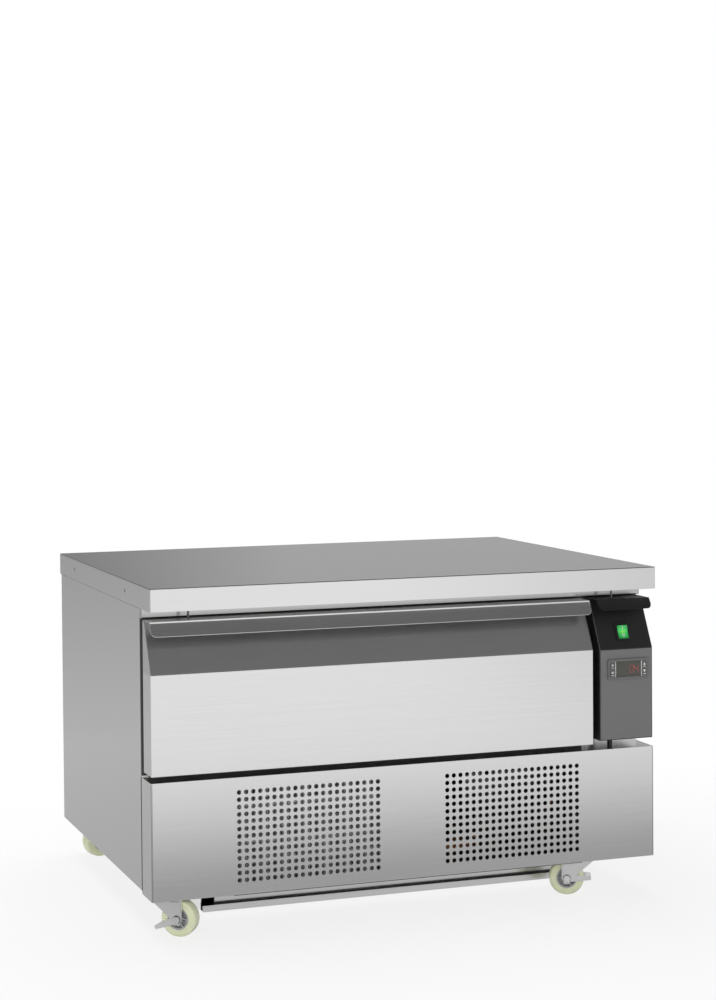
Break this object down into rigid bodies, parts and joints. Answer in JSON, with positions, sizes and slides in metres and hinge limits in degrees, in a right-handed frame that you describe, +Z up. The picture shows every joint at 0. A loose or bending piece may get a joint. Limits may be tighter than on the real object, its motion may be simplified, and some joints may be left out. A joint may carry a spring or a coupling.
{
  "type": "refrigerated_counter",
  "caption": "Low refrigerated counter on casters: stainless worktop, one insulated drawer, grille panel over the cooling machine and a control box at the right",
  "frame": {"origin": "on the floor under the middle of the worktop", "axes": "+X to the right seen from the front, +Y to the back, +Z up"},
  "size_m": [0.9, 0.7, 0.57],
  "materials": {
    "stainless": "brushed along the long edges",
    "stainless_inner": "mill finish",
    "galvanised": "dull zinc coat",
    "zinc": "bright zinc plate",
    "dark_zinc": "dark zinc plate",
    "core_board": "raw board",
    "foam": "closed-cell foam",
    "frame_plastic": "fine grain",
    "black_plastic": "fine grain",
    "fascia_grey": "printed film",
    "display_glass": "clear gloss over a dark display",
    "key_plastic": "soft touch",
    "rocker_green": "translucent gloss",
    "gasket_rubber": "matte",
    "tread": "satin, pale translucent",
    "black_paint": "satin",
    "fan_plastic": "moulded",
    "coil_aluminium": "bare fins",
    "copper": "drawn copper tube",
    "drain_plastic": "flexible hose"
  },
  "bodies": {
    "cabinet": {"worktop": "stainless", "worktop_core": "core_board", "left_side_panel": "stainless", "right_side_panel": "stainless", "back_panel": "galvanised", "cabinet_insulation": "foam", "inner_liner": "stainless_inner", "top_rail": "stainless", "front_frame": "frame_plastic", "base_frame": "galvanised", "base_tray": "galvanised", "lower_front_panel": "stainless", "cabinet_screws": "dark_zinc", "control_housing": "black_plastic", "control_fascia": "fascia_grey", "switch_frame_body": "black_plastic", "controller_case": "fascia_grey", "display_window": "display_glass", "wiring_conduit": "black_plastic", "cabinet_runners": "zinc", "caster_plates": "zinc", "compressor": "black_paint", "condenser_coil": "coil_aluminium", "condenser_shroud": "galvanised", "condenser_fan_motor": "black_paint", "refrigerant_pipes": "copper", "evaporator_coil": "coil_aluminium", "evaporator_cover": "stainless_inner", "evaporator_fan_motor": "black_paint", "drain_pipe": "drain_plastic", "cable_gland": "black_plastic"},
    "drawer": {"drawer_front_skin": "stainless", "drawer_handle": "stainless", "drawer_front_core": "foam", "drawer_front_liner": "stainless_inner", "drawer_gasket": "gasket_rubber", "drawer_tub": "stainless_inner", "drawer_runners": "zinc"},
    "runner_middle": {"middle_runners": "zinc"},
    "rocker": {"power_rocker": "rocker_green"},
    "key_set": {"set_key": "key_plastic"},
    "key_defrost": {"defrost_key": "key_plastic"},
    "key_up": {"up_key": "key_plastic"},
    "key_down": {"down_key": "key_plastic"},
    "fan_condenser": {"condenser_fan": "fan_plastic"},
    "fan_evaporator": {"evaporator_fan": "fan_plastic"},
    "caster_front_left": {"front_left_fork": "zinc", "front_left_axle": "zinc"},
    "roller_front_left": {"front_left_wheel": "tread"},
    "brake_front_left": {"front_left_brake_lever": "zinc"},
    "caster_front_right": {"front_right_fork": "zinc", "front_right_axle": "zinc"},
    "roller_front_right": {"front_right_wheel": "tread"},
    "brake_front_right": {"front_right_brake_lever": "zinc"},
    "caster_rear_left": {"rear_left_fork": "zinc", "rear_left_axle": "zinc"},
    "roller_rear_left": {"rear_left_wheel": "tread"},
    "caster_rear_right": {"rear_right_fork": "zinc", "rear_right_axle": "zinc"},
    "roller_rear_right": {"rear_right_wheel": "tread"}
  },
  "joints": [
    {"name": "drawer_slide", "type": "slide", "parent": "cabinet", "child": "drawer", "axis": [0, -1, 0], "range_m": [0, 0.5]},
    {"name": "runner_slide", "type": "slide", "parent": "cabinet", "child": "runner_middle", "axis": [0, -1, 0], "range_m": [0, 0.25]},
    {"name": "rocker_tilt", "type": "hinge", "parent": "cabinet", "child": "rocker", "pos_m": [0.39485, -0.32575, 0.45425], "axis": [1, 0, 0], "range_deg": [-14, 0]},
    {"name": "set_key_press", "type": "slide", "parent": "cabinet", "child": "key_set", "axis": [0, 1, 0], "range_m": [0, 0.0008], "stiffness_N_per_m": 300},
    {"name": "defrost_key_press", "type": "slide", "parent": "cabinet", "child": "key_defrost", "axis": [0, 1, 0], "range_m": [0, 0.0008], "stiffness_N_per_m": 300},
    {"name": "up_key_press", "type": "slide", "parent": "cabinet", "child": "key_up", "axis": [0, 1, 0], "range_m": [0, 0.0008], "stiffness_N_per_m": 300},
    {"name": "down_key_press", "type": "slide", "parent": "cabinet", "child": "key_down", "axis": [0, 1, 0], "range_m": [0, 0.0008], "stiffness_N_per_m": 300},
    {"name": "condenser_fan_spin", "type": "hinge", "parent": "cabinet", "child": "fan_condenser", "pos_m": [-0.187, -0.281, 0.158], "axis": [0, 1, 0], "continuous": true},
    {"name": "evaporator_fan_spin", "type": "hinge", "parent": "cabinet", "child": "fan_evaporator", "pos_m": [0.18, 0.2658, 0.359], "axis": [0, 1, 0], "continuous": true},
    {"name": "front_left_swivel", "type": "hinge", "parent": "cabinet", "child": "caster_front_left", "pos_m": [-0.411, -0.303, 0.076], "axis": [0, 0, 1], "continuous": true},
    {"name": "front_left_roll", "type": "hinge", "parent": "caster_front_left", "child": "roller_front_left", "pos_m": [-0.39503, -0.31504, 0.03], "axis": [0.6018, 0.7986, 0], "continuous": true},
    {"name": "front_left_brake", "type": "hinge", "parent": "caster_front_left", "child": "brake_front_left", "pos_m": [-0.39503, -0.31504, 0.03], "axis": [0.6018, 0.7986, 0], "range_deg": [0, 22]},
    {"name": "front_right_swivel", "type": "hinge", "parent": "cabinet", "child": "caster_front_right", "pos_m": [0.321, -0.303, 0.076], "axis": [0, 0, 1], "continuous": true},
    {"name": "front_right_roll", "type": "hinge", "parent": "caster_front_right", "child": "roller_front_right", "pos_m": [0.30259, -0.29518, 0.03], "axis": [-0.3907, -0.9205, 0], "continuous": true},
    {"name": "front_right_brake", "type": "hinge", "parent": "caster_front_right", "child": "brake_front_right", "pos_m": [0.30259, -0.29518, 0.03], "axis": [-0.3907, -0.9205, 0], "range_deg": [-22, 0]},
    {"name": "rear_left_swivel", "type": "hinge", "parent": "cabinet", "child": "caster_rear_left", "pos_m": [-0.411, 0.296, 0.076], "axis": [0, 0, 1], "continuous": true},
    {"name": "rear_left_roll", "type": "hinge", "parent": "caster_rear_left", "child": "roller_rear_left", "pos_m": [-0.39193, 0.30201, 0.03], "axis": [-0.3007, 0.9537, 0], "continuous": true},
    {"name": "rear_right_swivel", "type": "hinge", "parent": "cabinet", "child": "caster_rear_right", "pos_m": [0.321, 0.296, 0.076], "axis": [0, 0, 1], "continuous": true},
    {"name": "rear_right_roll", "type": "hinge", "parent": "caster_rear_right", "child": "roller_rear_right", "pos_m": [0.30368, 0.306, 0.03], "axis": [-0.5, -0.866, 0], "continuous": true}
  ],
  "couplings": [
    {"joint": "runner_slide", "follows": "drawer_slide", "ratio": 0.5}
  ]
}
